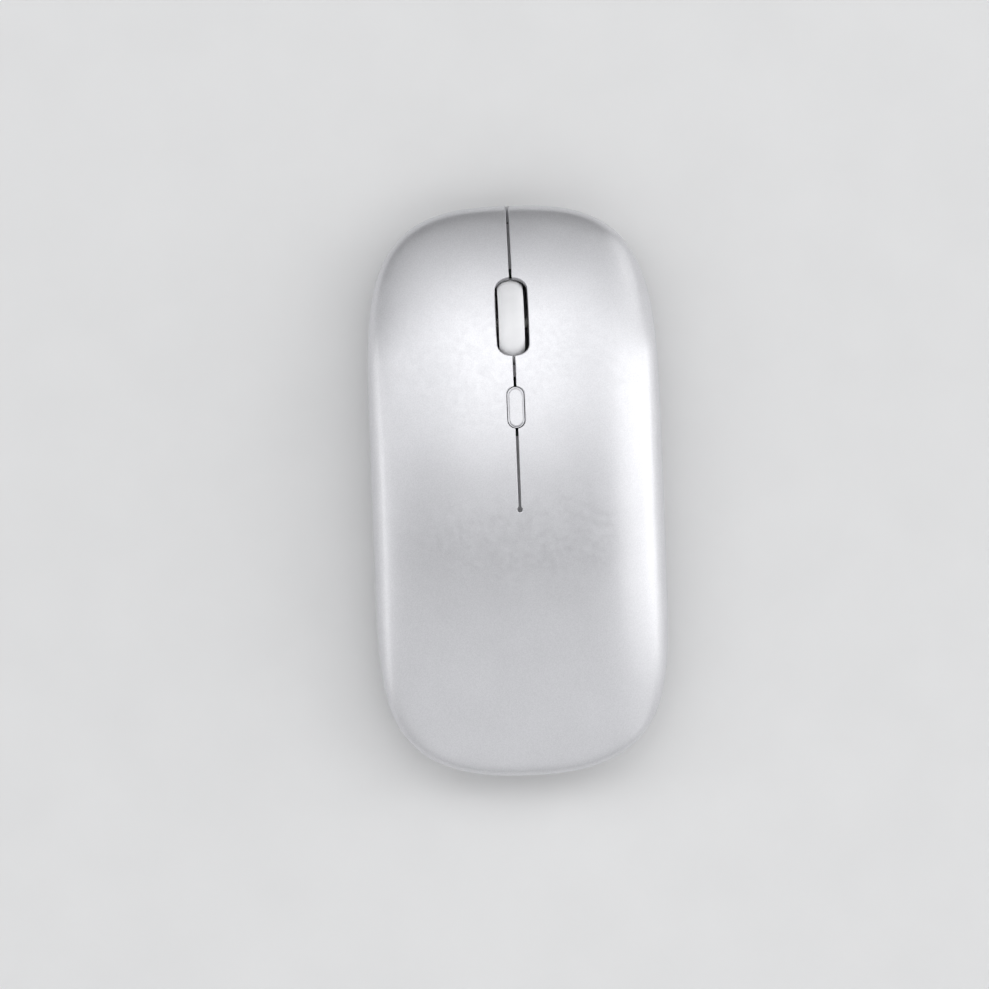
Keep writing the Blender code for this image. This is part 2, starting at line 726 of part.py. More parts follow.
def main_board():
    outline = [
        (-BOARD_HALF, BOARD_REAR),
        (BOARD_HALF, BOARD_REAR),
        (BOARD_HALF, BOARD_FRONT - 3 * MM),
        (BOARD_HALF - 3 * MM, BOARD_FRONT),
        (7.5 * MM, BOARD_FRONT),
        (7.5 * MM, BOARD_FRONT + 10.4 * MM),
        (-7.5 * MM, BOARD_FRONT + 10.4 * MM),
        (-7.5 * MM, BOARD_FRONT),
        (-BOARD_HALF + 3 * MM, BOARD_FRONT),
        (-BOARD_HALF, BOARD_FRONT - 3 * MM),
    ]
    made = prism("main_board", outline, BOARD_LOW, BOARD_HIGH, "board_green")
    low, high = BOARD_LOW - 1 * MM, BOARD_HIGH + 1 * MM
    wheel_hole = block(
        "board_wheel_hole", (-3.7 * MM, WHEEL_Y - 7.8 * MM, low), (3.7 * MM, WHEEL_Y + 7.8 * MM, high)
    )
    sensor_hole = block("board_sensor_hole", (-3 * MM, SENSOR_Y - 4 * MM, low), (3 * MM, SENSOR_Y + 4 * MM, high))
    holes = [wheel_hole, sensor_hole]
    for offset, label in ((-3, "rear"), (3, "front")):
        holes.append(
            block(
                f"board_fin_hole_{label}",
                (5.3 * MM, WHEEL_Y + (offset - 0.9) * MM, low),
                (8.7 * MM, WHEEL_Y + (offset + 0.9) * MM, high),
            )
        )
    for side, label in ((-1, "left"), (1, "right")):
        place = (side * BOARD_SCREW[0], BOARD_SCREW[1])
        holes.append(cylinder(f"board_hole_{label}", 1.3 * MM, low, high, place))
    return cut(made, *holes)


def button_switch(side, label):
    """A low micro switch and its plunger, which follows the button above it."""
    x = side * SWITCH_X
    body = block(
        f"{label}_switch_body",
        (x - 2.9 * MM, SWITCH_Y - 5 * MM, BOARD_HIGH + SEAT),
        (x + 2.9 * MM, SWITCH_Y + 5 * MM, SWITCH_TOP),
        "black_plastic",
        bevel=0.3 * MM,
    )
    half_x, half_y = 1.45 * MM, 0.7 * MM
    well = block(
        f"{label}_switch_well",
        (x - half_x - 0.15 * MM, SWITCH_PLUNGER_Y - half_y - 0.15 * MM, SWITCH_TOP - 1.7 * MM),
        (x + half_x + 0.15 * MM, SWITCH_PLUNGER_Y + half_y + 0.15 * MM, SWITCH_TOP + 1 * MM),
    )
    cut(body, well)
    plunger = block(
        f"{label}_switch_plunger",
        (x - half_x, SWITCH_PLUNGER_Y - half_y, SWITCH_TOP - 1.0 * MM),
        (x + half_x, SWITCH_PLUNGER_Y + half_y, PLUNGER_TOP),
        "white_plastic",
    )
    on_joint(f"{label}_switch_press", (x, SWITCH_PLUNGER_Y, PLUNGER_TOP), plunger)


def tact_switch(label, centre, half, body_high, plunger_high, radius):
    """A small push switch on the board with a round plunger."""
    x, y = centre
    body = block(
        f"{label}_switch_body",
        (x - half[0], y - half[1], BOARD_HIGH + SEAT),
        (x + half[0], y + half[1], body_high),
        "black_plastic",
    )
    cut(body, cylinder(f"{label}_switch_well", radius + 0.15 * MM, body_high - 1.2 * MM, body_high + 1 * MM, centre))
    plunger = cylinder(
        f"{label}_switch_plunger", radius, body_high - 0.75 * MM, plunger_high, centre, finish="white_plastic"
    )
    on_joint(f"{label}_switch_press", (x, y, plunger_high), plunger)


def sensor():
    block("sensor_chip", mm(-4.9, -1.6, 7.85), mm(4.9, 9.6, 10.3), "black_plastic", bevel=0.3 * MM)
    lens = block("sensor_lens", mm(-6.2, -3.4, 2.4), mm(6.2, 11.4, 3.6), "clear_lens", bevel=0.3 * MM)
    dome = cylinder(
        "lens_dome", 2.6 * MM, 3.4 * MM, 7.4 * MM, (0, SENSOR_Y), top_radius=1.9 * MM
    )
    join(lens, dome)


def charge_port():
    """The socket under the board's front tongue: a pressed shell and the contact tongue inside it."""
    half_wide, half_high = 4.47 * MM, 1.6 * MM
    shell = prism(
        "charge_port_shell",
        [(z, x) for x, z in slot_outline(half_high, half_wide, half_high)],
        PORT_MOUTH - 7.3 * MM,
        PORT_MOUTH,
        "steel",
        axis="Y",
    )
    inner = prism(
        "port_cavity",
        [(z, x) for x, z in slot_outline(half_high - 0.3 * MM, half_wide - 0.3 * MM, half_high - 0.3 * MM)],
        PORT_MOUTH - 6.8 * MM,
        PORT_MOUTH + 1 * MM,
        axis="Y",
    )
    shell.data.transform(Matrix.Translation((0, 0, PORT_Z)))
    inner.data.transform(Matrix.Translation((0, 0, PORT_Z)))
    cut(shell, inner)
    tongue = block(
        "charge_port_tongue",
        (-3.35 * MM, PORT_MOUTH - 6.7 * MM, PORT_Z - 0.35 * MM),
        (3.35 * MM, PORT_MOUTH - 1.2 * MM, PORT_Z + 0.35 * MM),
        "black_plastic",
    )
    heel = block(
        "tongue_heel",
        (-3.4 * MM, PORT_MOUTH - 6.7 * MM, PORT_Z - 1.15 * MM),
        (3.4 * MM, PORT_MOUTH - 5.2 * MM, PORT_Z + 1.15 * MM),
    )
    join(tongue, heel)


def power_switch():
    rest = POWER_Y - POWER_TRAVEL / 2
    block(
        "power_switch_body",
        (POWER_X - 1.9 * MM, POWER_Y - 4.4 * MM, 3.7 * MM),
        (POWER_X + 1.9 * MM, POWER_Y + 4.4 * MM, BOARD_LOW - SEAT),
        "steel",
        bevel=0.2 * MM,
    )
    knob = prism(
        "power_knob",
        slot_outline(1.5 * MM, 2.6 * MM, 1.5 * MM, (POWER_X, rest)),
        0.95 * MM,
        2.9 * MM,
        "black_plastic",
    )
    flange = block(
        "power_flange",
        (POWER_X - 2.6 * MM, rest - 3.6 * MM, 2.45 * MM),
        (POWER_X + 2.6 * MM, rest + 3.6 * MM, 3.1 * MM),
    )
    nib = block(
        "power_nib", (POWER_X - 0.7 * MM, rest - 0.9 * MM, 2.9 * MM), (POWER_X + 0.7 * MM, rest + 0.9 * MM, 3.6 * MM)
    )
    join(knob, flange, nib)
    for offset in (-1, 0, 1):
        y = rest + offset * 1.1 * MM
        groove = block(
            f"power_groove_{offset}",
            (POWER_X - 2 * MM, y - 0.22 * MM, 0.5 * MM),
            (POWER_X + 2 * MM, y + 0.22 * MM, 1.2 * MM),
        )
        cut(knob, groove)
    on_joint("power_slide", (POWER_X, rest, FOOT_DROP), knob)


def chips():
    low = BOARD_HIGH + SEAT
    block("controller_chip", mm(9, 10) + (low,), mm(15, 16) + (low + 0.9 * MM,), "black_plastic")
    block("clock_crystal", mm(9.6, 4) + (low,), mm(13.4, 7) + (low + 0.8 * MM,), "steel", bevel=0.15 * MM)
    block("charger_chip", mm(-14, 20) + (low,), mm(-10.5, 23) + (low + 1.1 * MM,), "black_plastic")


# ---------------------------------------------------------------- battery and receiver


def smooth_route(points, steps):
    """Points along a smooth curve through the given points (Catmull-Rom)."""
    padded = [points[0], *points, points[-1]]
    route = []
    for a, b, c, d in zip(padded, padded[1:], padded[2:], padded[3:]):
        for step in range(steps):
            t = step / steps
            route.append(
                tuple(
                    0.5 * (2 * q + (r - p) * t + (2 * p - 5 * q + 4 * r - s) * t**2 + (3 * q - p - 3 * r + s) * t**3)
                    for p, q, r, s in zip(a, b, c, d)
                )
            )
    return route + [points[-1]]


def battery():
    block("battery_cell", mm(-12, -40.5, 9.4), mm(12, -14, 14.9), "foil", bevel=1.0 * MM)
    block("battery_pad", mm(-8, -35, 8.95), mm(8, -16, 9.35), "foam")
    low = BOARD_HIGH + SEAT
    socket = block("battery_socket", mm(-18, -6.6) + (low,), mm(-12, -1.4) + (low + 3.6 * MM,), "white_plastic")
    mouth = block("socket_mouth", mm(-17.2, -8, 8.8), mm(-12.8, -2.6, 10.6))
    cut(socket, mouth)
    block("battery_plug", mm(-17.05, -9.0, 8.95), mm(-12.95, -2.9, 10.45), "white_plastic")
    routes = {
        "red": [(-8.5, -13.7, 12.8), (-8.8, -12.7, 12.6), (-12, -12.1, 11.4), (-15.5, -11.3, 10.1), (-15.8, -9.3, 9.7)],
        "black": [(-5.5, -13.7, 12.8), (-5.8, -12, 12.6), (-9.6, -10.7, 11.5), (-13.7, -10.3, 10.1), (-14.2, -9.3, 9.7)],
    }
    for label, finish in (("red", "red_wire"), ("black", "black_plastic")):
        route = [mm(*place) for place in routes[label]]
        tube_along(f"battery_wire_{label}", smooth_route(route, 4), 0.45 * MM, finish)


def receiver():
    """The radio receiver in its bay: a metal plug, its contact block and a plastic cap."""
    middle = 3.95 * MM
    plug_rear, plug_front = BAY_Y - 2.75 * MM, BAY_Y + 9.6 * MM
    cap = block(
        "receiver_cap",
        (-7.2 * MM, BAY_Y - 9.6 * MM, middle - 2.9 * MM),
        (7.2 * MM, BAY_Y - 2.6 * MM, middle + 2.9 * MM),
        "black_plastic",
        bevel=0.8 * MM,
    )
    cut(
        cap,
        block(
            "cap_socket",
            (-6.15 * MM, plug_rear - 2 * MM, middle - 2.4 * MM),
            (6.15 * MM, plug_front, middle + 2.4 * MM),
        ),
    )
    plug = block(
        "receiver_plug",
        (-6 * MM, plug_rear - 1.8 * MM, middle - 2.25 * MM),
        (6 * MM, plug_front, middle + 2.25 * MM),
        "steel",
    )
    cavity = block(
        "plug_cavity",
        (-5.7 * MM, plug_rear - 1.3 * MM, middle - 1.95 * MM),
        (5.7 * MM, plug_front + 1 * MM, middle + 1.95 * MM),
    )
    cut(plug, cavity)
    for side in (-1, 1):
        x = side * 2.6 * MM
        window = block(
            f"plug_window_{side}",
            (x - 1.1 * MM, plug_front - 6.2 * MM, middle - 4 * MM),
            (x + 1.1 * MM, plug_front - 3.8 * MM, middle + 4 * MM),
        )
        cut(plug, window)
    tongue = block(
        "receiver_tongue",
        (-5.55 * MM, plug_rear - 1.15 * MM, middle - 1.8 * MM),
        (5.55 * MM, plug_front - 0.8 * MM, middle + 0.1 * MM),
        "white_plastic",
    )
    on_joint("receiver_pull", (0, BAY_Y, middle), cap, plug, tongue)


# ---------------------------------------------------------------- assembly


def assemble():
    covers()
    inner_frame()
    dpi_button()
    base_shell()
    feet()
    screws()
    scroll_wheel()
    encoder()
    main_board()
    for side, label in ((-1, "left"), (1, "right")):
        button_switch(side, label)
    tact_switch("middle", (SADDLE_X, WHEEL_Y), mm(3, 1.75), 11.15 * MM, 11.9 * MM, 1.0 * MM)
    tact_switch("dpi", (0, DPI_Y), mm(3, 3), BOARD_HIGH + 3.5 * MM, BOARD_HIGH + 5 * MM, 1.7 * MM)
    sensor()
    charge_port()
    power_switch()
    chips()
    battery()
    receiver()


assemble()
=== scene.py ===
"""The look of a slim wireless mouse: satin silver covers, case, wheel and small parts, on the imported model.

Lengths in this script are millimetres until a mesh is made, where MM turns them into metres.
"""

import json
import math

import bmesh
import bpy
import numpy as np
from mathutils import Matrix, Vector, geometry


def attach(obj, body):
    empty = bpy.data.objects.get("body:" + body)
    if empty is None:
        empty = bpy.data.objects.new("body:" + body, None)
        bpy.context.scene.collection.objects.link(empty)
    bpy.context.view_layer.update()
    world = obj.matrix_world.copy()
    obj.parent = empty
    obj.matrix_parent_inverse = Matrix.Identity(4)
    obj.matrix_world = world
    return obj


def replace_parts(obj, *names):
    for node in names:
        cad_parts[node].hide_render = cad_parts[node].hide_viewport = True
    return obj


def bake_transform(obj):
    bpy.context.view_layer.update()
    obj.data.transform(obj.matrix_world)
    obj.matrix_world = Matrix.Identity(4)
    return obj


MM = 0.001

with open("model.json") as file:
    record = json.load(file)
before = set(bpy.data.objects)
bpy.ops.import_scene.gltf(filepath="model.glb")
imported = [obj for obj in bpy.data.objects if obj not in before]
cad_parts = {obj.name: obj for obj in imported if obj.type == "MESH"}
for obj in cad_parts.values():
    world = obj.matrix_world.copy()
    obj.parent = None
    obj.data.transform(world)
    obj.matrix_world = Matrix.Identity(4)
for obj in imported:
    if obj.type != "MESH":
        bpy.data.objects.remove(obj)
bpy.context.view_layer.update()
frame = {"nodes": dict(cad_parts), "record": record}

# The body's surface.
HALF_WIDTH, HALF_LENGTH = 28.7, 56.0
SIDE_REAR, SIDE_FRONT = 2.45, 2.8  # powers of the outline: 2 is an ellipse, and more is squarer
END_REAR, END_FRONT = 6.2, 5.25
CREST, CREST_Y = 24.0, -6.0  # the covers' highest point
REAR_BEND, FRONT_BEND = 8.6 / 50**2, 9.5 / 62**2  # how fast the top falls away behind and ahead of it
CROWN, SHOULDER = 0.003, 6e-6  # and to the sides, times the distance to the 2nd and to the 4th power
REAR_ROLL, FRONT_ROLL = 0.10, 0.38  # how the top rolls over to its edge: 0.5 is an ellipse, less is squarer
ROLL_START = 25  # from here to the nose the one turns into the other
HINGE_Y = -3.7  # where the buttons bend
PRESS = math.tan(math.radians(0.7))  # how far they go down, for each millimetre from that line
COVER_EDGE, CASE_RIM, CASE_BOTTOM = 8.5, 8.2, 0.7

# Openings in the covers.
SLIT_HALF, HOLE_RADIUS = 0.24, 0.5  # the slit, and the round hole at its end
WHEEL_SLOT = (3.15, 7.7, 2.3, 34.0)  # half width, half length, length of each rounded end, middle
DPI_SLOT = (1.74, 4.11, 1.7, 16.2)
DPI_CAP = (1.33, 3.71, 1.32, 16.2)
SKIRT, SKIRT_DEPTH = (1.63, 4.0, 1.6), 0.65  # the step round the cap's foot, and how far down it is
COVER_WALL = 1.5

WHEEL_PLACE = (-0.2, 32.7, 13.4)
WHEEL_HALF, WHEEL_RADIUS = 2.5, 9.0
WHEEL_ROOM = 0.4  # clear space round the tyre


# ---------------------------------------------------------------- the surface as functions of x and y


def ease(t):
    """0 up to t = 0, 1 from t = 1, and smooth between."""
    t = np.clip(t, 0, 1)
    return t * t * (3 - 2 * t)


def side_power(y):
    return SIDE_REAR + (SIDE_FRONT - SIDE_REAR) * ease(0.5 + y / 60)


def spread(x, y):
    """How far out (x, y) lies: 0 in the middle and 1 on the outline."""
    end = np.where(y >= 0, END_FRONT, END_REAR)
    return np.abs(x / HALF_WIDTH) ** side_power(y) + np.abs(y / HALF_LENGTH) ** end


def arch(x, y):
    """Height of the covers before their edges roll over."""
    bend = REAR_BEND + (FRONT_BEND - REAR_BEND) * ease((y - CREST_Y) / 24 + 0.5)
    return CREST - bend * (y - CREST_Y) ** 2 - CROWN * x**2 - SHOULDER * x**4


def roll(y):
    return REAR_ROLL + (FRONT_ROLL - REAR_ROLL) * ease((y - ROLL_START) / (HALF_LENGTH - ROLL_START))


def edge_height(y):
    """The covers' lower edge, which leaves room ahead of the hinge for a button to go down."""
    return COVER_EDGE + PRESS * np.maximum(0, y - HINGE_Y)


def height(x, y):
    low = edge_height(y)
    return low + (arch(x, y) - low) * np.clip(1 - spread(x, y), 0, None) ** roll(y)


def surface(x, y):
    """Points of the covers' outer surface and its outward normals there."""
    points = np.stack([x, y, height(x, y)], 1)

    def level(p):
        x, y, z = p.T
        low = edge_height(y)
        return np.abs((z - low) / (arch(x, y) - low)) ** (1 / roll(y)) + spread(x, y)

    step = 1e-4 * np.eye(3)
    slope = np.stack([level(points + h) - level(points - h) for h in step], 1)
    return points, slope / np.linalg.norm(slope, axis=1, keepdims=True)


def outline(inset=0.0, steps=720):
    """The outline as a loop from +X towards +Y, at nearly even steps."""
    angle = np.linspace(0, 2 * math.pi, 20001)[:-1]
    end = np.where(np.sin(angle) >= 0, END_FRONT, END_REAR)
    y = (HALF_LENGTH - inset) * np.sign(np.sin(angle)) * np.abs(np.sin(angle)) ** (2 / end)
    x = (HALF_WIDTH - inset) * np.sign(np.cos(angle)) * np.abs(np.cos(angle)) ** (2 / side_power(y))
    return even(np.stack([x, y], 1), steps, closed=True)


def even(points, steps, closed=False):
    """The polyline resampled to that many even steps."""
    points = np.vstack([points, points[:1]]) if closed else points
    walked = np.append(0, np.cumsum(np.linalg.norm(np.diff(points, axis=0), axis=1)))
    places = np.linspace(0, walked[-1], steps + 1)[: steps if closed else steps + 1]
    return np.stack([np.interp(places, walked, points[:, k]) for k in range(points.shape[1])], 1)


# ---------------------------------------------------------------- making objects


def new_object(name, points, faces, finish, normals=None):
    """A mesh object from points in millimetres, with faces turned outwards."""
    mesh = bpy.data.meshes.new(name)
    mesh.from_pydata((np.asarray(points, float) * MM).tolist(), [], faces)
    shape = bmesh.new()
    shape.from_mesh(mesh)
    bmesh.ops.recalc_face_normals(shape, faces=shape.faces)
    shape.to_mesh(mesh)
    shape.free()
    made = bpy.data.objects.new(name, mesh)
    bpy.context.scene.collection.objects.link(made)
    mesh.materials.append(finish)
    mesh.shade_smooth()
    if normals is not None:
        mesh.normals_split_custom_set_from_vertices(normals.tolist())
    return made


def settle(made, angle=35):
    """Applies an object's modifiers, and shades it smooth up to an angle."""
    graph = bpy.context.evaluated_depsgraph_get()
    mesh = bpy.data.meshes.new_from_object(made.evaluated_get(graph))
    old = made.data
    made.modifiers.clear()
    made.data = mesh
    bpy.data.meshes.remove(old)
    mesh.name = made.name
    mesh.shade_smooth()
    mesh.set_sharp_from_angle(angle=math.radians(angle))
    return made


def soften(made, width=0.15, segments=2, angle=40):
    """Rounds the crisp edges, and keeps flat faces flat in the shading."""
    rounding = made.modifiers.new("soft_edges", "BEVEL")
    rounding.width = width * MM
    rounding.segments = segments
    rounding.limit_method = "ANGLE"
    rounding.angle_limit = math.radians(angle)
    rounding.harden_normals = True
    return made


def loft(name, rings, finish, capped=True):
    """A solid through rings of equal length."""
    count = len(rings[0])
    points = np.vstack(rings)
    faces = []
    for k in range(len(rings) - 1):
        for i in range(count):
            j = (i + 1) % count
            faces.append((k * count + i, k * count + j, (k + 1) * count + j, (k + 1) * count + i))
    if capped:
        faces += [tuple(range(count)), tuple(range((len(rings) - 1) * count, len(rings) * count))]
    return new_object(name, points, faces, finish)


def prism(name, flat, low, high, finish, axis="Z"):
    """A flat outline pushed from low to high. Along Y the outline is in (x, z)."""
    flat = np.asarray(flat, float)
    rings = []
    for level in (low, high):
        ring = np.insert(flat, 2 if axis == "Z" else 1, level, axis=1)
        rings.append(ring)
    return loft(name, rings, finish)


def box_outline(low, high, radius=0.0, steps=6):
    """A rectangle in a plane, with round corners."""
    (x0, y0), (x1, y1) = low, high
    corners = [(x1, y1, 0), (x0, y1, 90), (x0, y0, 180), (x1, y0, 270)]
    points = []
    for x, y, start in corners:
        cx = x - math.copysign(radius, x - (x0 + x1) / 2)
        cy = y - math.copysign(radius, y - (y0 + y1) / 2)
        for k in range(steps + 1 if radius else 1):
            turn = math.radians(start + 90 * k / steps)
            points.append((cx + radius * math.cos(turn), cy + radius * math.sin(turn)))
    return points


def slot_outline(half, long, end, x=0.0, y=0.0, steps=24):
    """A slot along Y whose ends are half ellipses, each `end` long."""
    points = []
    for sign in (1, -1):
        for k in range(steps + 1):
            turn = math.pi * k / steps
            points.append((x + sign * half * math.cos(turn), y + sign * (long - end + end * math.sin(turn))))
    return points


def disc(radius, x, y, steps=40):
    turns = np.linspace(0, 2 * math.pi, steps, endpoint=False)
    return np.stack([x + radius * np.cos(turns), y + radius * np.sin(turns)], 1)


def combine(target, tools, operation):
    """Joins or cuts with each tool, which is then removed."""
    for tool in tools:
        change = target.modifiers.new(tool.name, "BOOLEAN")
        change.operation, change.object, change.solver = operation, tool, "EXACT"
    settle(target)
    for tool in tools:
        bpy.data.objects.remove(tool)
    return target


# ---------------------------------------------------------------- materials


class Finish:
    """A Principled material with short calls for the nodes that feed it."""

    def __init__(self, name, colour, roughness, **sockets):
        self.material = bpy.data.materials.new(name)
        self.material.use_nodes = True
        self.nodes = self.material.node_tree.nodes
        self.links = self.material.node_tree.links
        self.shader = self.nodes["Principled BSDF"]
        self.shader.inputs["Base Color"].default_value = (*colour, 1)
        self.shader.inputs["Roughness"].default_value = roughness
        for socket, value in sockets.items():
            self.shader.inputs[socket.replace("_", " ").title().replace("Ior", "IOR")].default_value = value
        place = self.nodes.new("ShaderNodeTexCoord")
        self.place = place.outputs["Object"]

    def texture(self, kind, scale, stretch=None, **settings):
        node = self.nodes.new(kind)
        source = self.place
        if stretch:
            mapping = self.nodes.new("ShaderNodeMapping")
            mapping.inputs["Scale"].default_value = stretch
            self.links.new(source, mapping.inputs["Vector"])
            source = mapping.outputs["Vector"]
        self.links.new(source, node.inputs["Vector"])
        node.inputs["Scale"].default_value = scale
        for name, value in settings.items():
            node.inputs[name.title()].default_value = value
        return node

    def ramp(self, source, stops):
        node = self.nodes.new("ShaderNodeValToRGB")
        while len(node.color_ramp.elements) < len(stops):
            node.color_ramp.elements.new(0.5)
        for element, (place, colour) in zip(node.color_ramp.elements, stops):
            element.position = place
            element.color = (*colour, 1) if isinstance(colour, tuple) else (colour,) * 3 + (1,)
        self.links.new(source, node.inputs["Fac"])
        return node.outputs["Color"]

    def mix(self, a, b, share, blend="MIX"):
        node = self.nodes.new("ShaderNodeMix")
        node.data_type, node.blend_type = "RGBA", blend
        for socket, value in ((node.inputs[0], share), (node.inputs[6], a), (node.inputs[7], b)):
            if isinstance(value, (int, float)):
                socket.default_value = value
            elif isinstance(value, tuple):
                socket.default_value = (*value, 1)
            else:
                self.links.new(value, socket)
        return node.outputs[2]

    def feed(self, socket, source):
        self.links.new(source, self.shader.inputs[socket])

    def vary_roughness(self, texture, low, high):
        self.feed("Roughness", self.ramp(texture.outputs["Fac"], [(0.3, low), (0.7, high)]))

    def bump(self, layers, socket="Normal"):
        """Stacks (height output, strength, distance in mm) as bumps."""
        last = None
        for source, strength, distance in layers:
            node = self.nodes.new("ShaderNodeBump")
            node.inputs["Strength"].default_value = strength
            node.inputs["Distance"].default_value = distance * MM
            self.links.new(source, node.inputs["Height"])
            if last:
                self.links.new(last, node.inputs["Normal"])
            last = node.outputs["Normal"]
        self.feed(socket, last)


def silver_paint(name, light, dark, roughness, metallic, coat):
    """Metallic paint: flakes of a tenth of a millimetre that differ in brightness, under a clear coat."""
    made = Finish(name, light, roughness, metallic=metallic, coat_weight=coat, coat_roughness=0.06)
    flakes = made.texture("ShaderNodeTexVoronoi", 7000)
    tones = made.ramp(flakes.outputs["Color"], [(0.1, dark), (0.9, light)])
    cloud = made.texture("ShaderNodeTexNoise", 130, detail=3)
    drift = made.ramp(cloud.outputs["Fac"], [(0.3, 0.965), (0.7, 1.0)])
    made.feed("Base Color", made.mix(tones, drift, 1.0, "MULTIPLY"))
    gloss = made.texture("ShaderNodeTexNoise", 900, detail=4)
    made.vary_roughness(gloss, roughness - 0.03, roughness + 0.04)
    grain = made.texture("ShaderNodeTexNoise", 5200, detail=2)
    made.bump([(grain.outputs["Fac"], 0.05, 0.01)])
    return made.material


def moulded(name, colour, roughness, grain=0.25, **sockets):
    """Moulded plastic with a fine eroded texture and faint differences in tone."""
    made = Finish(name, colour, roughness, **sockets)
    cloud = made.texture("ShaderNodeTexNoise", 160, detail=4)
    darker = tuple(value * 0.9 for value in colour)
    made.feed("Base Color", made.ramp(cloud.outputs["Fac"], [(0.3, darker), (0.7, colour)]))
    fine = made.texture("ShaderNodeTexNoise", 4200, detail=3)
    made.vary_roughness(fine, roughness - 0.05, roughness + 0.07)
    made.bump([(fine.outputs["Fac"], grain, 0.02)])
    return made.material


def metal(name, colour, roughness, stretch=(1, 1, 1)):
    """Plated or drawn metal with fine marks along one direction."""
    made = Finish(name, colour, roughness, metallic=1.0)
    marks = made.texture("ShaderNodeTexNoise", 2600, stretch, detail=5)
    darker = tuple(value * 0.82 for value in colour)
    made.feed("Base Color", made.ramp(marks.outputs["Fac"], [(0.25, darker), (0.7, colour)]))
    made.vary_roughness(marks, roughness - 0.08, roughness + 0.1)
    made.bump([(marks.outputs["Fac"], 0.12, 0.01)])
    return made.material


def board_finish():
    """Green solder mask with darker copper tracks under it."""
    made = Finish("board_green", (0.02, 0.12, 0.05), 0.35, coat_weight=0.3, coat_roughness=0.15)
    tracks = made.texture("ShaderNodeTexBrick", 320)
    tracks.inputs["Color1"].default_value = (0.02, 0.13, 0.055, 1)
    tracks.inputs["Color2"].default_value = (0.015, 0.10, 0.045, 1)
    tracks.inputs["Mortar"].default_value = (0.05, 0.22, 0.09, 1)
    tracks.inputs["Mortar Size"].default_value = 0.03
    made.feed("Base Color", tracks.outputs["Color"])
    made.bump([(tracks.outputs["Fac"], 0.2, 0.03)])
    return made.material


PAINT = silver_paint("silver_paint", (0.745, 0.745, 0.768), (0.665, 0.665, 0.687), 0.36, 0.72, 0.35)
CASE = moulded("case_plastic", (0.52, 0.52, 0.54), 0.42, metallic=0.25)
WHEEL = moulded("wheel_silver", (0.97, 0.97, 0.985), 0.45, 0.05)
FRAME = moulded("frame_plastic", (0.68, 0.68, 0.695), 0.55)
BLACK = moulded("black_plastic", (0.022, 0.022, 0.024), 0.45)
WHITE = moulded("white_plastic", (0.78, 0.78, 0.76), 0.45)
SLICK = moulded("slick_feet", (0.016, 0.016, 0.018), 0.33, 0.1)
STEEL = metal("steel", (0.63, 0.63, 0.64), 0.28, (1, 12, 12))
GOLD = metal("gold_contacts", (0.83, 0.62, 0.26), 0.25)
BOARD = board_finish()
FOIL = metal("battery_foil", (0.66, 0.67, 0.69), 0.4)
FOAM = moulded("foam", (0.05, 0.05, 0.055), 0.9, 0.8)
RED = moulded("red_wire", (0.5, 0.02, 0.02), 0.4, 0.05)
LENS = moulded("clear_lens", (0.9, 0.93, 0.95), 0.08, 0.02, transmission_weight=0.9, ior=1.49)


# ---------------------------------------------------------------- covers

LIP = 0.22  # rounding of the openings' edges
RIM = 0.12  # rounding of the covers' lower edge
RIM_STEPS = (2.4, 1.2, 0.5, 0.15, 0.03, 0.0)  # how far in from the outline each surface loop runs
LIP_STEPS = (0.36, 0.33, 0.30, 0.27, 0.24, LIP)  # the same, from the edge of an opening
ARC = [math.radians(turn) for turn in (30, 60, 90)]


def thin_out(points, others, longest=1.0, turn=8.0):
    """Keeps enough of a dense polyline's points to hold its shape."""
    kept, walked, turned = [0], 0.0, 0.0
    steps = np.diff(points, axis=0)
    heading = np.unwrap(np.arctan2(steps[:, 1], steps[:, 0]))
    for i in range(1, len(points) - 1):
        walked += math.hypot(*steps[i - 1])
        turned += abs(heading[i] - heading[i - 1])
        if walked > longest or turned > math.radians(turn):
            kept.append(i)
            walked = turned = 0.0
    kept.append(len(points) - 1)
    return [array[kept] for array in (points, *others)]


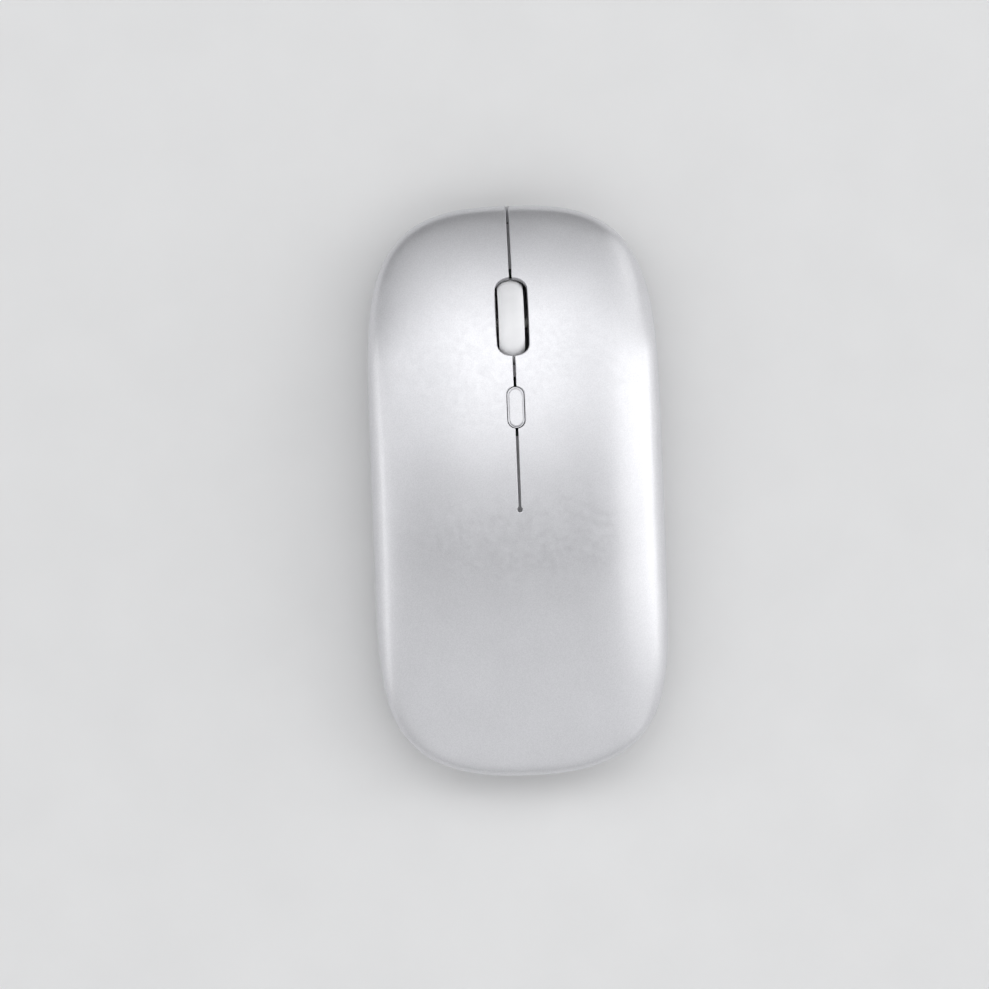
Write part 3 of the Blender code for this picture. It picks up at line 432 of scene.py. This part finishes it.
def free_edge(corners, is_lip, fixed_below=None):
    """One free edge of a cover, with its corners a little rounded, as edge_loops takes it.

    corners is a polyline with the cover on its right, and is_lip is 1 on an opening's edge and 0 on the
    outline. Up to y = fixed_below no corner is rounded, so that the edge meets the joint line as it is.
    Returns the path, and for each of its points the direction into the cover, how far it is a lip, how far
    the loops beside it keep together, and how much of their spacing is left at a tight corner.
    """
    count = int(np.linalg.norm(np.diff(corners, axis=0), axis=1).sum() / 0.05)
    dense = even(np.column_stack([corners, is_lip]), count)
    path, lip = dense[:, :2], dense[:, 2]
    kernel = np.convolve(np.ones(7), np.ones(7)) / 49

    def blurred(values, reach=6):
        before = 2 * values[0] - values[reach:0:-1]
        after = 2 * values[-1] - values[-2 : -reach - 2 : -1]
        return np.convolve(np.concatenate([before, values, after]), kernel, "valid")

    if fixed_below is not None:
        share = ease((path[:, 1] - fixed_below) / 0.4)[:, None]
        path = path * (1 - share) + np.stack([blurred(path[:, k]) for k in (0, 1)], 1) * share
    tangent = np.gradient(path, axis=0)
    tangent /= np.linalg.norm(tangent, axis=1, keepdims=True)
    inward = np.stack([tangent[:, 1], -tangent[:, 0]], 1)
    walked = np.append(0, np.cumsum(np.linalg.norm(np.diff(path, axis=0), axis=1)))
    if lip.min() < lip.max():  # the surface loops spread apart over the first millimetres of the outline
        start = walked[np.argmax(lip < 0.5)]
        narrow = 1 - ease((walked - start) / 5)
        lip = 1 - ease((walked - start + 0.3) / 0.6)
    else:
        narrow = lip.copy()
    heading = np.unwrap(np.arctan2(tangent[:, 1], tangent[:, 0]))
    bend = np.maximum(-np.gradient(heading, walked), 1e-6)  # 1/mm, where the loops inside crowd together
    tight = np.clip(0.7 / (bend * LIP_STEPS[0]), 0.25, 1)
    reach = 12  # points, 0.6 mm
    spread = np.lib.stride_tricks.sliding_window_view(np.pad(tight, reach, "edge"), 2 * reach + 1).min(1)
    tight = np.convolve(np.pad(spread, reach, "edge"), np.ones(2 * reach + 1) / (2 * reach + 1), "valid")
    return thin_out(path, (inward, lip, narrow, tight))


def edge_loops(path, inward, lip, narrow, tight, sink=0.0, wall=COVER_WALL):
    """(surface loops as x and y, then the rounding's and the wall's points and normals)."""
    surface_loops = []
    for rim_in, lip_in in zip(RIM_STEPS, LIP_STEPS):
        step = (rim_in + (lip_in * tight - rim_in) * narrow)[:, None]
        surface_loops.append(path + inward * step)
    weight, soft = lip[:, None], LIP * tight[:, None]
    flat_in = np.column_stack([inward, np.zeros(len(path))])
    foot, foot_normal = surface(path[:, 0], path[:, 1])
    level = foot.copy()
    level[:, 2] = edge_height(path[:, 1])
    up = np.array([0, 0, 1.0])
    points, normals = [], []
    for turn in (0.0, *ARC):
        base = path + inward * soft * (1 - math.sin(turn))
        top, top_normal = surface(base[:, 0], base[:, 1])
        round_point = top - top_normal * (soft * (1 - math.cos(turn)) + sink)
        round_normal = top_normal * math.cos(turn) - flat_in * math.sin(turn)
        under_point = level + flat_in * RIM * (1 - math.cos(turn)) + up * RIM * (1 - math.sin(turn))
        under_normal = -flat_in * math.cos(turn) - up * math.sin(turn)
        points.append(round_point * weight + under_point * (1 - weight))
        normals.append(round_normal * weight + under_normal * (1 - weight))
    deep_lip = foot - foot_normal * (wall + sink)
    deep_rim = level + flat_in * wall
    points.append(deep_lip * weight + deep_rim * (1 - weight))
    normals.append(-flat_in * weight - up * (1 - weight))
    return surface_loops, points, normals


def inside(points, loop):
    """Which points lie inside a closed loop, and how far each is from it."""
    a, b = loop, np.roll(loop, -1, axis=0)
    px, py = points[:, 0, None], points[:, 1, None]
    rise = np.where(b[:, 1] == a[:, 1], 1e-12, b[:, 1] - a[:, 1])
    at_level = (b[:, 0] - a[:, 0]) * (py - a[:, 1]) / rise + a[:, 0]
    crossing = ((a[:, 1] > py) != (b[:, 1] > py)) & (px < at_level)
    gaps = np.full(len(points), np.inf)
    for start, end in zip(a, b):
        run = end - start
        t = np.clip(((points - start) @ run) / max(run @ run, 1e-12), 0, 1)
        gaps = np.minimum(gaps, np.linalg.norm(points - start - t[:, None] * run, axis=1))
    return crossing.sum(1) % 2 == 1, gaps


def cover_panel(name, edges, seam_points, finish, grid=0.8, sink=0.0, wall=COVER_WALL, mirror=False):
    """One cover as a closed shell. edges are its free edges in order, each from free_edge, and seam_points
    the points along the joint line after each edge. With no seams its one edge is a closed loop."""
    made = [edge_loops(*edge, sink=sink, wall=wall) for edge in edges]
    closed = not seam_points
    loop = []
    starts = []
    for k, (surface_loops, _, _) in enumerate(made):
        starts.append(len(loop))
        loop += surface_loops[0].tolist()[: -1 if closed else None]
        if not closed:
            loop += list(seam_points[k])
    loop = np.array(loop)
    low, high = loop.min(0), loop.max(0)
    xs, ys = np.meshgrid(np.arange(low[0], high[0], grid), np.arange(low[1], high[1], grid * 0.87))
    xs[1::2] += grid / 2
    field = np.stack([xs.ravel(), ys.ravel()], 1)
    within, gaps = inside(field, loop)
    field = field[within & (gaps > 0.5 * grid)]
    flat = [Vector(p) for p in np.vstack([loop, field]).tolist()]
    border = list(range(len(loop)))[::-1]
    verts, _, triangles, origin, _, _ = geometry.delaunay_2d_cdt(flat, [], [border], 1, 1e-6)
    flat = np.array([tuple(v) for v in verts])
    where = {old: new for new, olds in enumerate(origin) for old in olds}

    top, top_normal = surface(flat[:, 0], flat[:, 1])
    count = len(flat)
    points = [top - top_normal * sink, top - top_normal * (wall + sink)]
    normals = [top_normal, -top_normal]
    faces = [tuple(t) for t in triangles] + [tuple(i + count for i in reversed(t)) for t in triangles]
    total = 2 * count
    tables = []
    for (surface_loops, round_points, round_normals), start in zip(made, starts):
        length = len(surface_loops[0])
        rows = [[where[start + (i % (length - 1) if closed else i)] for i in range(length)]]
        for level in surface_loops[1:-1]:
            p, n = surface(level[:, 0], level[:, 1])
            points.append(p - n * sink)
            normals.append(n)
        points += round_points
        normals += round_normals
        for _ in range(len(surface_loops) - 2 + len(round_points)):
            rows.append(list(range(total, total + length)))
            total += length
        if closed:
            for row in rows[1:]:
                row[-1] = row[0]
        rows.append([i + count for i in rows[0]])
        tables.append(rows)
        for upper, lower in zip(rows, rows[1:]):
            for i in range(length - 1):
                faces.append((upper[i], upper[i + 1], lower[i + 1], lower[i]))
    if not closed:
        for k, rows in enumerate(tables):
            following = tables[(k + 1) % len(tables)]
            first = starts[k] + len(rows[0])
            seam = [rows[0][-1], *(where[first + i] for i in range(len(seam_points[k]))), following[0][0]]
            for a, b in zip(seam, seam[1:]):
                faces.append((a, b, b + count, a + count))
            faces.append((rows[0][-1], *(row[-1] for row in rows[:0:-1])))
            faces.append(tuple(row[0] for row in following))
    points, normals = clear_wheel(np.vstack(points)), np.vstack(normals)
    normals /= np.linalg.norm(normals, axis=1, keepdims=True)
    if mirror:
        points, normals = points * [-1, 1, 1], normals * [-1, 1, 1]
    points, faces, normals = drop_loose(points, faces, normals)
    return new_object(name, points, faces, finish, normals)


def clear_wheel(points):
    """Lifts a cover's underside over the wheel, so that a pressed button stays clear of the tyre."""
    reach = WHEEL_RADIUS + WHEEL_ROOM
    away = points[:, 1] - WHEEL_PLACE[1]
    low = WHEEL_PLACE[2] + np.sqrt(np.maximum(reach**2 - away**2, 0)) + PRESS * (points[:, 1] - HINGE_Y)
    low = np.minimum(low, height(points[:, 0], points[:, 1]) - 2 * LIP)
    over = (np.abs(points[:, 0]) < WHEEL_SLOT[0] - 0.15) & (np.abs(away) < reach)
    points[over, 2] = np.maximum(points[over, 2], low[over])
    return points


def drop_loose(points, faces, normals):
    """Leaves out the points that no face uses."""
    used = sorted({i for face in faces for i in face})
    index = {old: new for new, old in enumerate(used)}
    return points[used], [tuple(index[i] for i in face) for face in faces], normals[used]


def half_slot(half, long, end, middle, start_x):
    """The right half of a slot in the slit's path, from its rear end to its front end."""
    first = math.asin(start_x / half)
    turns = np.linspace(first, math.pi / 2, 200)
    rear = np.stack([half * np.sin(turns), middle - (long - end) - end * np.cos(turns)], 1)
    front = np.stack([half * np.sin(turns[::-1]), middle + (long - end) + end * np.cos(turns[::-1])], 1)
    return np.vstack([rear, front])


def covers():
    """The palm cover and the two buttons. They meet along the line on which the buttons bend."""
    border = outline(steps=6000)
    side_x = float(np.interp(HINGE_Y, border[-800:, 1], border[-800:, 0]))

    turns = np.linspace(0, math.acos(SLIT_HALF / HOLE_RADIUS), 60)
    hole = np.stack([HOLE_RADIUS * np.cos(turns), HINGE_Y + HOLE_RADIUS * np.sin(turns)], 1)
    slit = np.vstack([hole, half_slot(*DPI_SLOT, SLIT_HALF), half_slot(*WHEEL_SLOT, SLIT_HALF)])
    right = border[(border[:, 0] > SLIT_HALF) & (border[:, 1] > HINGE_Y)]
    right = right[np.argsort(-np.arctan2(right[:, 1] - HINGE_Y, right[:, 0]))]
    right = np.vstack([[SLIT_HALF, right[0, 1]], right, [side_x, HINGE_Y]])
    path = np.vstack([slit, right])
    is_lip = np.append(np.ones(len(slit) + 1), np.zeros(len(right) - 1))
    button_edge = free_edge(path, is_lip, fixed_below=HINGE_Y + 0.15)

    turns = np.linspace(math.pi, 2 * math.pi, 120)
    arc = np.stack([HOLE_RADIUS * np.cos(turns), HINGE_Y + HOLE_RADIUS * np.sin(turns)], 1)
    rear = border[border[:, 1] < HINGE_Y]
    rear = rear[np.argsort(-np.unwrap(np.arctan2(rear[:, 1], rear[:, 0]) % (2 * math.pi)))]
    rear = np.vstack([[side_x, HINGE_Y], rear, [-side_x, HINGE_Y]])
    hole_edge = free_edge(arc, np.ones(len(arc)))
    rear_edge = free_edge(rear, np.zeros(len(rear)))

    # The ends of the free edges lie exactly on the joint line.
    for edge, at_start, at_end in ((button_edge, 1, -1), (hole_edge, -1, 1), (rear_edge, -1, 1)):
        edge[1][0], edge[1][-1] = (at_start, 0), (at_end, 0)
        edge[0][0, 1] = edge[0][-1, 1] = HINGE_Y
    near, far = HOLE_RADIUS + LIP_STEPS[0], side_x - RIM_STEPS[0]
    along = np.linspace(near, far, 34)[1:-1]
    line = [(x, HINGE_Y) for x in along]

    palm = cover_panel(
        "palm_cover_shell", [hole_edge, rear_edge], [line, [(-x, HINGE_Y) for x, _ in line[::-1]]], PAINT
    )
    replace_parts(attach(palm, "body"), "palm_cover")
    for side, mirror in (("right", False), ("left", True)):
        button = cover_panel(f"{side}_button_shell", [button_edge], [line[::-1]], PAINT, mirror=mirror)
        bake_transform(button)
        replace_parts(button, f"{side}_button")

    loop = np.array(slot_outline(*DPI_CAP[:3], 0, DPI_CAP[3], 60))[::-1]
    loop = np.vstack([loop, loop[:1]])
    cap = cover_panel(
        "pill_button_cap", [free_edge(loop, np.ones(len(loop)))], [], PAINT, grid=0.5, sink=0.05, wall=2.9
    )
    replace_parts(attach(cap, "dpi_button"), "dpi_button")
    ring = np.array(slot_outline(*SKIRT, 0, DPI_CAP[3], 40))
    below = height(ring[:, 0], ring[:, 1]) - SKIRT_DEPTH
    rings = [np.column_stack([ring, below - 1.9]), np.column_stack([ring, below])]
    skirt = soften(loft("pill_button_skirt", rings, PAINT), 0.05)
    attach(skirt, "dpi_button")


# ---------------------------------------------------------------- case

BAY_Y, BAY_HALF, BAY_LONG = -24.6, 8.0, 10.2
POWER = (-14.0, 4.0)
SENSOR_Y = 4.0
PORT_Z, PORT_MOUTH = 4.9, 54.4
BELOW, IN_FLOOR = -1, 1.7  # a level under the case, and one within its floor
SCREW_POSTS = (  # x and y, the post's top and radius, its bore's radius and lower end
    (11.5, 45.2, 6.5, 2.8, 1.2, BELOW),
    (11.5, -45.1, 5.0, 2.8, 1.2, BELOW),
    (19, 24, 6.5, 2.1, 1.05, 3.2),
)


def port_outline(half, long):
    """A slot round the charging socket's axis, in x and z."""
    return [(z, x + PORT_Z) for x, z in slot_outline(half, long, half)]


def case():
    """The lower case: a tray with a rounded underside, and the openings in it."""
    profile = []
    for k in range(13):
        turn = math.radians(90 - 7.5 * k)
        level = CASE_RIM - (CASE_RIM - CASE_BOTTOM) * math.sin(turn)
        profile.append((0.1 + 5.4 * (1 - math.cos(turn)), level))
    profile += [(2.3, 8.2), (2.3, 9.1), (3.2, 9.1), (3.2, 4.2), (3.6, 3.1), (4.5, 2.3)]
    rings = []
    for inset, level in profile:
        flat = outline(inset, 240)
        rings.append(np.column_stack([flat, np.full(len(flat), level)]))
    shell = loft("case_shell", rings, CASE)

    posts = [
        prism("bay_wall", box_outline((-9.2, BAY_Y - 11.4), (9.2, BAY_Y + 11.4), 1), IN_FLOOR, 8.9, CASE),
        prism("frame_seat", disc(2.2, 0, -10.5), IN_FLOOR, 8.0, CASE),
    ]
    bay = box_outline((-BAY_HALF, BAY_Y - BAY_LONG), (BAY_HALF, BAY_Y + BAY_LONG), 0.9)
    holes = [
        prism("bay", bay, BELOW, 7.4, CASE),
        prism("finger_notch", slot_outline(3, 3.2, 3, 0, BAY_Y - BAY_LONG), BELOW, 1.7, CASE),
        prism("sensor_hole", slot_outline(3.4, 4.6, 3.4, 0, SENSOR_Y), BELOW, 4, CASE),
        prism("sensor_recess", slot_outline(4.6, 5.8, 4.6, 0, SENSOR_Y), BELOW, 1.15, CASE),
        prism("power_slot", slot_outline(1.8, 3.9, 1.8, *POWER), BELOW, 4, CASE),
        prism("power_recess", slot_outline(3.2, 5.8, 3.2, *POWER), BELOW, 1.2, CASE),
        prism("port_hole", port_outline(1.95, 4.85), 47, 60, CASE, axis="Y"),
        foot("front_recess", 1, 6.8, 10.6, 44, BELOW, 1.0, CASE),
        foot("rear_recess", -1, 6.8, 10.6, 44, BELOW, 1.0, CASE),
    ]
    for x, y, top, radius, bore, start in SCREW_POSTS:
        for side in (-1, 1):
            posts.append(prism("post", disc(radius, side * x, y, 24), IN_FLOOR, top, CASE))
            if start == BELOW:
                holes.append(prism("sink", disc(2.15, side * x, y, 24), BELOW, 2.9, CASE))
            holes.append(prism("bore", disc(bore, side * x, y, 20), start, 8, CASE))
    for side in (-1, 1):
        posts.append(prism("corner_post", disc(2.1, side * 19, -4, 24), IN_FLOOR, 6.5, CASE))
        fin_y = WHEEL_PLACE[1] + side * 3
        posts.append(prism("fin", box_outline((5.6, fin_y - 0.6), (8.4, fin_y + 0.6)), IN_FLOOR, 14.2, CASE))
    combine(shell, posts, "UNION")
    combine(shell, holes, "DIFFERENCE")
    soften(shell, 0.16)
    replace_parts(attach(shell, "body"), "base_shell")


def foot(name, end, outer, inner, start, low, high, finish):
    """A crescent that follows the case's end; end is 1 at the front and -1 at the rear."""
    turns = np.radians(np.linspace(start, 180 - start, 49)) * end
    sides = []
    for inset in (outer, inner):
        power = END_FRONT if end > 0 else END_REAR
        y = (HALF_LENGTH - inset) * end * np.abs(np.sin(turns)) ** (2 / power)
        x = (HALF_WIDTH - inset) * np.sign(np.cos(turns)) * np.abs(np.cos(turns)) ** (2 / side_power(y))
        sides.append(np.stack([x, y], 1))
    return prism(name, np.vstack([sides[0], sides[1][::-1]]), low, high, finish)


def feet():
    for label, end in (("front", 1), ("rear", -1)):
        pad = soften(foot(f"{label}_foot_pad", end, 7.0, 10.4, 44.6, 0, 0.95, SLICK), 0.22, 3)
        settle(pad)
        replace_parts(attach(pad, "body"), f"{label}_foot")


# ---------------------------------------------------------------- wheel, port and the small parts


def turned(name, profile, place, finish, steps=128):
    """A closed (x, radius) profile turned about the X axis through place."""
    turns = np.linspace(0, 2 * math.pi, steps, endpoint=False)
    count = len(profile)
    points = [(x, r * math.cos(t), r * math.sin(t)) for t in turns for x, r in profile]
    faces = []
    for k in range(steps):
        a, b = k * count, (k + 1) % steps * count
        for i in range(count):
            j = (i + 1) % count
            faces.append((a + i, a + j, b + j, b + i))
    made = new_object(name, np.array(points) + place, faces, finish)
    made.data.set_sharp_from_angle(angle=math.radians(35))
    return made


def wheel():
    """The tyre: a crowned band with a soft shoulder on each side."""
    half = WHEEL_HALF
    shares = np.sin(np.linspace(-1, 1, 33) * math.pi / 2)
    crown = [(half * share, WHEEL_RADIUS - abs(share) ** 3.2) for share in shares]
    profile = crown + [(half, 7.9), (half - 0.08, 7.8), (-half + 0.08, 7.8), (-half, 7.9)]
    tyre = turned("wheel_band", profile, WHEEL_PLACE, WHEEL)
    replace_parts(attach(tyre, "wheel"), "wheel_tyre")


def port():
    """The charging socket: a pressed shell and the gold contacts on its tongue."""
    shell = prism("port_shell", port_outline(1.6, 4.47), PORT_MOUTH - 7.3, PORT_MOUTH, STEEL, "Y")
    cavity = prism("cavity", port_outline(1.3, 4.17), PORT_MOUTH - 6.8, PORT_MOUTH + 1, STEEL, "Y")
    combine(shell, [cavity], "DIFFERENCE")
    soften(shell, 0.08)
    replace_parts(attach(shell, "body"), "charge_port_shell")
    for row in (-1, 1):
        for k in range(12):
            x = -2.75 + 0.5 * k
            low, high = sorted((PORT_Z + row * 0.34, PORT_Z + row * 0.38))
            flat = box_outline((x - 0.13, PORT_MOUTH - 5), (x + 0.13, PORT_MOUTH - 1.5))
            pad = prism("pad", flat, low, high, GOLD)
            pad.name = f"port_contact_{'lower' if row < 0 else 'upper'}_{k}"
            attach(pad, "body")


def dress_nodes():
    """Materials and rounded edges for the CAD nodes that stay."""
    finishes = {
        "silver_paint": PAINT,
        "case_plastic": CASE,
        "frame_plastic": FRAME,
        "slick_feet": SLICK,
        "wheel_silver": WHEEL,
        "white_plastic": WHITE,
        "black_plastic": BLACK,
        "board_green": BOARD,
        "steel": STEEL,
        "clear_lens": LENS,
        "battery_foil": FOIL,
        "foam": FOAM,
        "red_wire": RED,
    }
    slots = {part["node"]: part["material_slot"] for part in frame["record"]["subparts"]}
    for name, node in frame["nodes"].items():
        node.data.materials.clear()
        node.data.materials.append(finishes[slots[name]])
        node.data.shade_smooth()
        node.data.set_sharp_from_angle(angle=math.radians(35))
        if not name.startswith("battery_wire"):
            soften(node, 0.06 if "screw" in name or "plunger" in name else 0.1)


# ---------------------------------------------------------------- stage


LIGHT_AWAY = 2.2  # metres
FLOOR_HALF = 2000
DOME = (  # (how far forward of straight overhead, as Y over Z; brightness), from the rear to the front
    (-0.17, 0.79),
    (-0.155, 0.08),
    (0.0, 0.08),
    (0.05, 0.23),
    (0.2, 1.28),
    (0.35, 1.74),
    (0.45, 1.74),
    (0.9, 0.74),
    (1.5, 0.34),
    (2.6, 0.1),
)


def softbox(name, tilt, turn, size, power):
    """A softbox tilted that many degrees from straight above, towards turn degrees from +X."""
    tilt, turn = math.radians(tilt), math.radians(turn)
    away = Vector((math.sin(tilt) * math.cos(turn), math.sin(tilt) * math.sin(turn), math.cos(tilt)))
    light = bpy.data.lights.new(name, "AREA")
    light.shape = "RECTANGLE"
    light.size, light.size_y = size
    light.energy = power
    made = bpy.data.objects.new(name, light)
    bpy.context.scene.collection.objects.link(made)
    made.location = LIGHT_AWAY * away
    made.rotation_euler = away.to_track_quat("Z", "Y").to_euler()


def stage():
    floor_finish = Finish("pale_floor", (0.8, 0.8, 0.8), 0.7)
    mottle = floor_finish.texture("ShaderNodeTexNoise", 60, detail=3)
    floor_finish.feed("Base Color", floor_finish.ramp(mottle.outputs["Fac"], [(0.3, 0.79), (0.7, 0.81)]))
    corners = [(x * FLOOR_HALF, y * FLOOR_HALF, 0) for x, y in ((-1, -1), (1, -1), (1, 1), (-1, 1))]
    floor = new_object("floor", corners, [(0, 1, 2, 3)], floor_finish.material)

    dome()
    for name, tilt, turn, size, power in (
        ("key", 18, 95, (1.0, 0.8), 1.6),
        ("right_wall", 62, 0, (1.3, 1.5), 5.3),
        ("right_low", 80, 0, (1.2, 0.5), 3.0),
        ("right_front_low", 76, 35, (0.8, 0.6), 2.1),
        ("right_rear_low", 76, 325, (0.8, 0.6), 0.8),
        ("left_low", 82, 180, (1.4, 0.4), 2.9),
    ):
        softbox(name, tilt, turn, size, power)


def dome():
    """A plain studio dome: bright to the rear, dark overhead, brightest a little forward and dimmer from
    there to the nose end and to the horizon. The camera sees plain grey past the floor's far edge."""
    world = bpy.data.worlds.new("studio")
    bpy.context.scene.world = world
    world.use_nodes = True
    nodes, links = world.node_tree.nodes, world.node_tree.links
    direction, parts = nodes.new("ShaderNodeTexCoord"), nodes.new("ShaderNodeSeparateXYZ")
    links.new(direction.outputs["Generated"], parts.inputs[0])
    above, slope = nodes.new("ShaderNodeMath"), nodes.new("ShaderNodeMath")
    above.operation, slope.operation = "MAXIMUM", "DIVIDE"
    above.inputs[1].default_value = 0.05
    links.new(parts.outputs["Z"], above.inputs[0])
    links.new(parts.outputs["Y"], slope.inputs[0])
    links.new(above.outputs[0], slope.inputs[1])
    span = nodes.new("ShaderNodeMapRange")
    lowest, highest = -1, 3
    span.inputs["From Min"].default_value, span.inputs["From Max"].default_value = lowest, highest
    links.new(slope.outputs[0], span.inputs["Value"])
    band = nodes.new("ShaderNodeValToRGB")
    while len(band.color_ramp.elements) < len(DOME):
        band.color_ramp.elements.new(0.5)
    for stop, (place, level) in zip(band.color_ramp.elements, DOME):
        stop.position = (place - lowest) / (highest - lowest)
        stop.color = (0.985 * level, 0.99 * level, level, 1)
    links.new(span.outputs["Result"], band.inputs["Fac"])
    links.new(band.outputs["Color"], nodes["Background"].inputs["Color"])
    dusk = nodes.new("ShaderNodeMapRange")
    for socket, value in (("From Min", 0.0), ("From Max", 0.45), ("To Min", 0.4), ("To Max", 1.05)):
        dusk.inputs[socket].default_value = value
    links.new(parts.outputs["Z"], dusk.inputs["Value"])
    links.new(dusk.outputs["Result"], nodes["Background"].inputs["Strength"])
    plain, either = nodes.new("ShaderNodeBackground"), nodes.new("ShaderNodeMixShader")
    rays = nodes.new("ShaderNodeLightPath")
    plain.inputs["Color"].default_value = (0.9, 0.9, 0.9, 1)
    links.new(rays.outputs["Is Camera Ray"], either.inputs["Fac"])
    links.new(nodes["Background"].outputs[0], either.inputs[1])
    links.new(plain.outputs[0], either.inputs[2])
    links.new(either.outputs[0], nodes["World Output"].inputs["Surface"])


def camera():
    """Above the mouse, a degree and a half to its left, turned two degrees, through a long lens."""
    lean, turn = math.radians(1.5), math.radians(2.18)
    back = Vector((-math.sin(lean), 0, math.cos(lean)))
    right = Vector((math.cos(turn), -math.sin(turn), 0))
    right = (right - back * right.dot(back)).normalized()
    up = back.cross(right)
    across = 194.6 * MM  # the width of the view at the mouse
    centre = Vector((0, 0, COVER_EDGE * MM)) - right * 4.43 * MM - up * 0.79 * MM
    distance = 1.5
    lens = bpy.data.cameras.new("camera")
    lens.sensor_width = 36
    lens.lens = 36 * distance / across
    made = bpy.data.objects.new("camera", lens)
    bpy.context.scene.collection.objects.link(made)
    facing = Matrix((right, up, back)).transposed().to_4x4()
    made.matrix_world = Matrix.Translation(centre + back * distance) @ facing
    bpy.context.scene.camera = made


dress_nodes()
covers()
case()
feet()
wheel()
port()
stage()
camera()

bpy.context.scene.view_settings.view_transform = "Standard"
